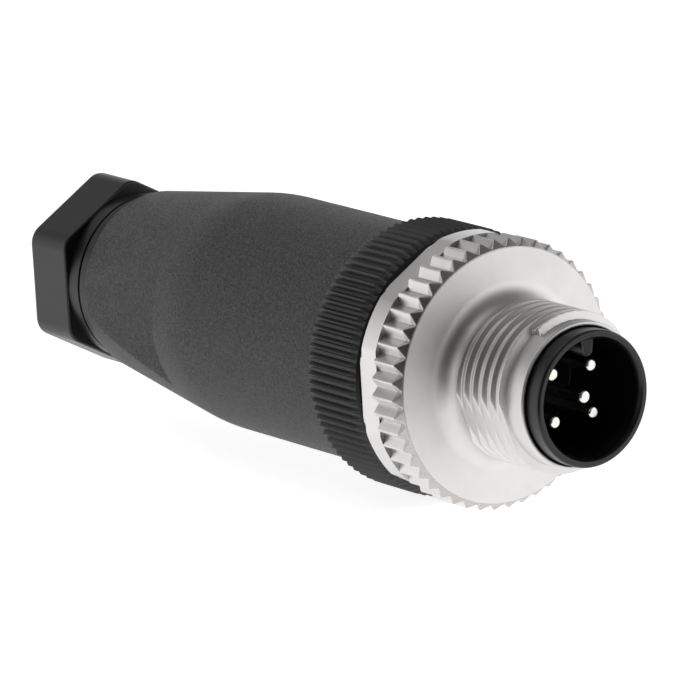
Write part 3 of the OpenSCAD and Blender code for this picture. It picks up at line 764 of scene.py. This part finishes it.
grow(grip_ring, ribs, {"Count": 48.0, "Depth": 0.54 * mm, "Crest": 0.06, "Root": 0.96,
                       "Reach": 10 * mm, "Material": grip_nickel})
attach(grip_ring, "ring")


# Collar: black nylon, with ninety fine grip ridges. It hooks into the coupling ring and
# carries the insert; the housing screws onto its threaded spigot.
ridge_columns = tooth_columns(90, [-0.42, -0.33, -0.24, -0.12, 0.0, 0.12, 0.24, 0.33, 0.42])
collar_x, collar_back, spigot_x = -12.06, -17.86, -23.46
spigot_r = 7.4
spigot_thread = [(x, spigot_r + 0.2, 0, "thread") for x in np.linspace(-19.9, -22.9, 60)]
collar = turned("collar_moulding", rounded([
    (-8.12, 5.3, 0.1), (-8.12, 7.52, 0.35), (-10.06, 7.52, 0.1), (-10.06, 6.92, 0.1),
    (collar_x, 6.92, 0.0), (collar_x, 9.35, 0.12), (collar_x - 0.12, 9.6, 0.0),
    (collar_x - 0.16, 9.64, 0.0, "rib"), (collar_x - 0.9, 10.0, 0.15, "rib"),
    (collar_back + 0.5, 10.0, 0.12, "rib"), (collar_back + 0.06, 9.66, 0.0, "rib"),
    (collar_back + 0.04, 9.6, 0.0), (collar_back, 9.3, 0.08), (collar_back, spigot_r, 0.1),
    (-18.66, spigot_r, 0.05), (-18.66, 6.5, 0.0), (-19.76, 6.5, 0.0),
    (-19.76, spigot_r, 0.05)] + spigot_thread +
    [(-23.1, spigot_r, 0.05), (spigot_x, 7.1, 0.05), (spigot_x, 5.67, 0.1),
     (-10.12, 5.67, 0.0), (-10.12, 5.3, 0.0)]),
    ridge_columns, marks={"rib": ["rib"], "thread": ["thread"]})
collar_nylon = moulded("collar_nylon", (0.008, 0.008, 0.009), (0.020, 0.020, 0.021),
                       0.42, 9000, 0.006)
grow(collar, ribs, {"Count": 90.0, "Depth": 0.30 * mm, "Crest": 0.14, "Root": 0.62,
                    "Reach": 10 * mm, "Material": collar_nylon}, 28)
grow(collar, cut_thread, {
    "Pitch": 1.0 * mm, "Depth": 0.45 * mm, "Crest": 0.25, "Root": 0.15, "Start": 0.0,
    "Flats": 9 * mm, "Flats Turn": 0.0, "Material": collar_nylon}, 28)
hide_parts("collar")
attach(collar, "insert")


# Seals: two black nitrile O-rings, one behind the carrier's shoulder and one under the
# housing, and the soft sleeve that the gland squeezes onto the cable.
seal_rubber = moulded("nitrile_rubber", (0.010, 0.010, 0.010), (0.022, 0.022, 0.022),
                      0.55, 12000, 0.004)
for seal in ("carrier_seal", "housing_seal", "cable_seal"):
    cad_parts[seal].data.materials.clear()
    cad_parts[seal].data.materials.append(seal_rubber)


# Housing: the glass-filled nylon grip sleeve, straight and then tapered, with two
# spanner flats at its rear. Its mould was spark-eroded, which leaves a fine grain.
house_x, taper_x, house_back, flats_x = -18.16, -35.56, -49.96, -38.96
house_r, rear_r, flat_half = 9.0, 6.95, 6.9
seat_x, seat_r, chamber_r, socket_x, socket_r = -39.96, 4.9, 7.2, -23.76, 7.7


def housing_reach(xs, radii, labels, angles):
    """Cuts the two spanner flats, with softened edges."""
    flat = flat_half / np.maximum(np.abs(np.cos(angles)), 0.2)
    rows = np.isin(labels, ["flat"])
    radii[rows] = soft_min(radii[rows], flat, soften=0.14)
    return radii


slope = (house_r - rear_r) / (taper_x - house_back)
long_steps = [(x, house_r - slope * (taper_x - x), 0, "flat")
              for x in np.linspace(flats_x - 0.05, house_back + 0.5, 60)]
shoulder_r = house_r - slope * (taper_x - flats_x)
housing = turned("housing_shell", rounded([
    (house_x, 7.75, 0.15), (house_x, house_r, 0.22), (-26.0, house_r), (taper_x, house_r, 20),
    (flats_x + 0.1, shoulder_r + 0.1 * slope),
    (flats_x + 0.03, shoulder_r), (flats_x, shoulder_r, 0, "flat")] + long_steps + [
    (house_back, rear_r, 0.3, "flat"), (house_back, 5.75, 0.15), (seat_x, 5.75, 0.0),
    (seat_x, seat_r, 0.1), (seat_x + 1.2, seat_r, 0.1), (-35.76, chamber_r, 0.3),
    (socket_x, chamber_r, 0.0), (socket_x, socket_r, 0.0)]), even(720), shape=housing_reach)
housing_nylon = moulded("housing_nylon", (0.006, 0.0058, 0.0062), (0.125, 0.120, 0.126),
                        0.52, 5600, 0.07, speckle=0.6)
housing.data.materials.append(housing_nylon)
smooth(housing, 30)
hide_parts("housing")
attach(housing, "grip")


# Clamp cage and pressure ring: acetal parts inside the gland, seen when it is undone. The
# gland nut pushes the ring, and the ring closes the slit cage on the seal.
clamp_acetal = moulded("clamp_acetal", (0.020, 0.020, 0.021), (0.034, 0.034, 0.035),
                       0.40, 8000, 0.003)
for inner in ("clamp_cage", "pressure_ring"):
    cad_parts[inner].data.materials.clear()
    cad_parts[inner].data.materials.append(clamp_acetal)


# Gland nut: the black nylon pressing screw, with a rounded hexagon and a round boss with a
# fine groove. It screws into the housing by its spigot, whose thread is left plain.
nut_flat, nut_corner, nut_reach_r, cable_bore_r, gland_r = 6.6, 1.5, 7.4, 3.4, 5.45
hex_x, nut_back, boss_x, boss_r, gland_x = -52.76, -57.46, -50.26, 6.45, -49.38
groove_x, groove_w = -51.31, 0.2


def nut_reach(xs, radii, labels, angles):
    """Gives the hexagon its flats and its round corners."""
    lean = from_flat(angles)
    away = np.pi / 6 - np.abs(lean)
    centre = (nut_flat - nut_corner) / math.cos(math.pi / 6)
    hidden = np.clip(nut_corner**2 - (centre * np.sin(away))**2, 0, None)
    corner = centre * np.cos(away) + np.sqrt(hidden)
    edge = math.atan((nut_flat - nut_corner) * math.tan(math.pi / 6) / nut_flat)
    shape = np.where(np.abs(lean) < edge, nut_flat / np.cos(lean), corner)
    rows = np.isin(labels, ["hex"])
    radii[rows] += shape[None, :] - nut_reach_r
    return radii


nut_spigot = [(x, gland_r) for x in np.linspace(-49.5, boss_x, 14)]
nut = turned("gland_nut_moulding", rounded([
    (gland_x, cable_bore_r, 0.1), (gland_x, 5.15, 0.1)] + nut_spigot + [
    (boss_x, boss_r, 0.12), (groove_x, boss_r, 0.04), (groove_x, boss_r - groove_w),
    (groove_x - groove_w, boss_r - groove_w), (groove_x - groove_w, boss_r, 0.04),
    (hex_x, boss_r, 0.0), (hex_x, nut_reach_r, 0.16, "hex"),
    (hex_x - 1.5, nut_reach_r, 0.0, "hex"), (nut_back + 1.2, nut_reach_r, 0.0, "hex"),
    (nut_back, nut_reach_r, 0.45, "hex"), (nut_back, 5.0, 0.0),
    (nut_back, cable_bore_r + 0.5, 0.08), (nut_back + 0.5, cable_bore_r, 0.05)]),
    even(480), shape=nut_reach)
gland_nylon = moulded("gland_nylon", (0.006, 0.006, 0.0065), (0.014, 0.014, 0.0145),
                      0.38, 7000, 0.008)
nut.data.materials.append(gland_nylon)
smooth(nut, 30)
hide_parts("gland_nut")
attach(nut, "gland")
